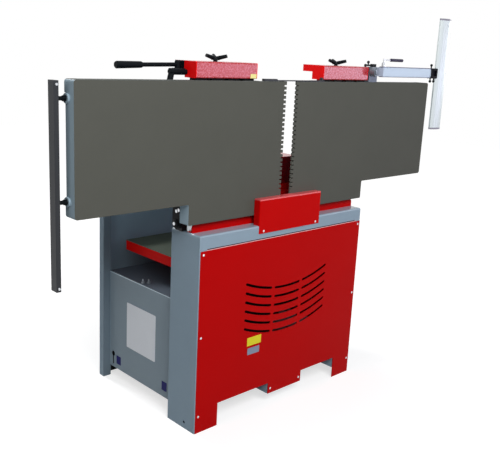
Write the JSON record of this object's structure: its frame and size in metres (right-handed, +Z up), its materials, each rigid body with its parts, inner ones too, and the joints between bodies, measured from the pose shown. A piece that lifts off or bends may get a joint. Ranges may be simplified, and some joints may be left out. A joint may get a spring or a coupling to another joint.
{
  "type": "combined jointer and planer",
  "caption": "Floor-standing combined jointer and thickness planer with folding cast tables raised on edge, bridge guard, fence rail, dust hood, rising bed and vented drive cover.",
  "frame": {"origin": "on the floor under the middle of the whole machine's bounding box", "axes": "+X along the feed from the infeed table to the outfeed table, +Y from the drive side to the operator's side, +Z up"},
  "size_m": [1.9932, 0.7556, 1.564],
  "materials": {
    "grey_paint": "satin powder coat",
    "red_paint": "semi-gloss powder coat",
    "red_iron": "painted casting",
    "table_iron": "ground face, painted back",
    "lip_steel": "ground",
    "bed_iron": "ground top, red painted sides",
    "black_iron": "black enamel",
    "grey_iron": "bare casting",
    "black_steel": "blackened",
    "dark_steel": "dark drawn bar",
    "bright_steel": "zinc plated or turned",
    "knife_steel": "ground edge",
    "guard_aluminium": "natural anodised",
    "black_plastic": "moulded",
    "dark_plastic": "moulded",
    "cap_plastic": "moulded",
    "switch_plastic": "moulded",
    "green_plastic": "moulded",
    "stop_plastic": "moulded",
    "belt_rubber": "plain",
    "motor_paint": "ribbed casing"
  },
  "bodies": {
    "frame": {"drive_column": "grey_paint", "operator_column": "grey_paint", "end_panels": "grey_paint", "shelf_plate": "grey_paint", "floor_plate": "grey_paint", "vented_cover": "red_paint", "body_screws": "bright_steel", "pulley_cover": "red_paint", "hinge_rail": "red_paint", "pivot_blocks": "black_iron", "hinge_shafts": "bright_steel", "front_head_casting": "red_iron", "rear_head_casting": "red_iron", "motor": "motor_paint", "drive_belt": "belt_rubber", "finger_bar": "black_steel", "lift_housing": "grey_iron", "lift_screw": "bright_steel", "switch_box": "switch_plastic"},
    "tables": {"outfeed_table": "table_iron", "outfeed_lip": "lip_steel", "hinge_arms": "black_iron", "outfeed_lock_box": "red_paint", "table_link_bar": "dark_steel", "guard_bracket": "grey_iron"},
    "infeed_side": {"infeed_table": "table_iron", "infeed_lip": "lip_steel", "infeed_lock_box": "red_paint", "depth_lever_bracket": "black_steel", "fence_rail": "dark_steel", "rail_spacers": "black_plastic", "rail_bolts": "bright_steel"},
    "depth_handle": {"depth_lever": "black_steel", "depth_lever_grip": "black_plastic"},
    "table_clamp": {"clamp_handle": "black_plastic"},
    "infeed_star": {"infeed_knob": "black_plastic"},
    "outfeed_star": {"outfeed_knob": "black_plastic"},
    "bridge": {"guard_knuckle": "grey_iron", "guard_arm": "guard_aluminium", "guard_end_block": "black_plastic", "guard_thumb_screws": "black_plastic"},
    "bridge_handle": {"guard_lever": "bright_steel", "guard_lever_grip": "dark_plastic"},
    "guard": {"guard_profile": "guard_aluminium", "guard_caps": "cap_plastic"},
    "hood": {"dust_hood": "red_paint", "hood_arms": "red_paint"},
    "cutter": {"cutterhead": "bright_steel", "knives": "knife_steel", "cutterhead_pulley": "bright_steel"},
    "motor_rotor": {"motor_pulley": "bright_steel"},
    "infeed_roller": {"serrated_roller": "bright_steel"},
    "outfeed_roller": {"smooth_roller": "bright_steel"},
    "fingers": {"kickback_fingers": "bright_steel"},
    "bed": {"thicknesser_bed": "bed_iron", "lift_column": "bright_steel"},
    "crank": {"handwheel": "black_steel"},
    "crank_grip": {"handwheel_grip": "black_plastic"},
    "start": {"start_button": "green_plastic"},
    "stop": {"stop_button": "stop_plastic"}
  },
  "joints": [
    {"name": "tables_tilt", "type": "hinge", "parent": "frame", "child": "tables", "pos_m": [-0.03365, -0.26325, 0.78], "axis": [1, 0, 0], "range_deg": [-90, 0]},
    {"name": "infeed_depth", "type": "slide", "parent": "tables", "child": "infeed_side", "axis": [0, 1, 0], "range_m": [0, 0.004]},
    {"name": "depth_lever_turn", "type": "hinge", "parent": "infeed_side", "child": "depth_handle", "pos_m": [-0.50165, -0.25325, 1.3247], "axis": [0, 0, 1], "range_deg": [-40, 0]},
    {"name": "table_clamp_turn", "type": "hinge", "parent": "infeed_side", "child": "table_clamp", "pos_m": [-0.50665, -0.28125, 1.303], "axis": [1, 0, 0], "range_deg": [0, 90]},
    {"name": "infeed_knob_turn", "type": "hinge", "parent": "infeed_side", "child": "infeed_star", "pos_m": [-0.37165, -0.29425, 1.3394], "axis": [0, 0, 1], "range_deg": [-120, 120]},
    {"name": "outfeed_knob_turn", "type": "hinge", "parent": "tables", "child": "outfeed_star", "pos_m": [0.26835, -0.29425, 1.3394], "axis": [0, 0, 1], "range_deg": [-120, 120]},
    {"name": "guard_swing", "type": "hinge", "parent": "tables", "child": "bridge", "pos_m": [0.45235, -0.35125, 1.322], "axis": [0, 1, 0], "range_deg": [-180, 0]},
    {"name": "guard_clamp_turn", "type": "hinge", "parent": "bridge", "child": "bridge_handle", "pos_m": [0.51135, -0.35125, 1.371], "axis": [0, 0, 1], "range_deg": [-90, 0]},
    {"name": "guard_slide", "type": "slide", "parent": "bridge", "child": "guard", "axis": [0, 0, 1], "range_m": [-0.2, 0.2]},
    {"name": "hood_flip", "type": "hinge", "parent": "frame", "child": "hood", "pos_m": [0.08135, 0.01075, 0.8], "axis": [0, 1, 0], "range_deg": [0, 180]},
    {"name": "cutter_spin", "type": "hinge", "parent": "frame", "child": "cutter", "pos_m": [-0.03365, 0.01075, 0.819], "axis": [0, 1, 0], "continuous": true},
    {"name": "motor_spin", "type": "hinge", "parent": "frame", "child": "motor_rotor", "pos_m": [0.14635, -0.36725, 0.23], "axis": [0, 1, 0], "continuous": true},
    {"name": "infeed_roller_spin", "type": "hinge", "parent": "frame", "child": "infeed_roller", "pos_m": [0.08135, 0.01075, 0.8], "axis": [0, 1, 0], "continuous": true},
    {"name": "outfeed_roller_spin", "type": "hinge", "parent": "frame", "child": "outfeed_roller", "pos_m": [-0.14865, 0.01075, 0.8], "axis": [0, 1, 0], "continuous": true},
    {"name": "finger_swing", "type": "hinge", "parent": "frame", "child": "fingers", "pos_m": [0.14435, 0.01075, 0.797], "axis": [0, 1, 0], "range_deg": [0, 30]},
    {"name": "bed_lift", "type": "slide", "parent": "frame", "child": "bed", "axis": [0, 0, 1], "range_m": [-0.057, 0.169]},
    {"name": "crank_turn", "type": "hinge", "parent": "frame", "child": "crank", "pos_m": [-0.03365, 0.29175, 0.3], "axis": [0, 1, 0], "continuous": true},
    {"name": "crank_grip_spin", "type": "hinge", "parent": "crank", "child": "crank_grip", "pos_m": [-0.03365, 0.29175, 0.366], "axis": [0, 1, 0], "continuous": true},
    {"name": "start_press", "type": "slide", "parent": "frame", "child": "start", "axis": [0, -1, 0], "range_m": [0, 0.004], "stiffness_N_per_m": 900},
    {"name": "stop_press", "type": "slide", "parent": "frame", "child": "stop", "axis": [0, -1, 0], "range_m": [0, 0.004], "stiffness_N_per_m": 900}
  ],
  "couplings": [
    {"joint": "depth_lever_turn", "follows": "infeed_depth", "rad_per_m": -174.5},
    {"joint": "hood_flip", "follows": "tables_tilt", "ratio": -2},
    {"joint": "motor_spin", "follows": "cutter_spin", "ratio": 0.5},
    {"joint": "infeed_roller_spin", "follows": "cutter_spin", "ratio": -0.0127},
    {"joint": "outfeed_roller_spin", "follows": "cutter_spin", "ratio": -0.0127},
    {"joint": "crank_turn", "follows": "bed_lift", "rad_per_m": 1570.8}
  ]
}
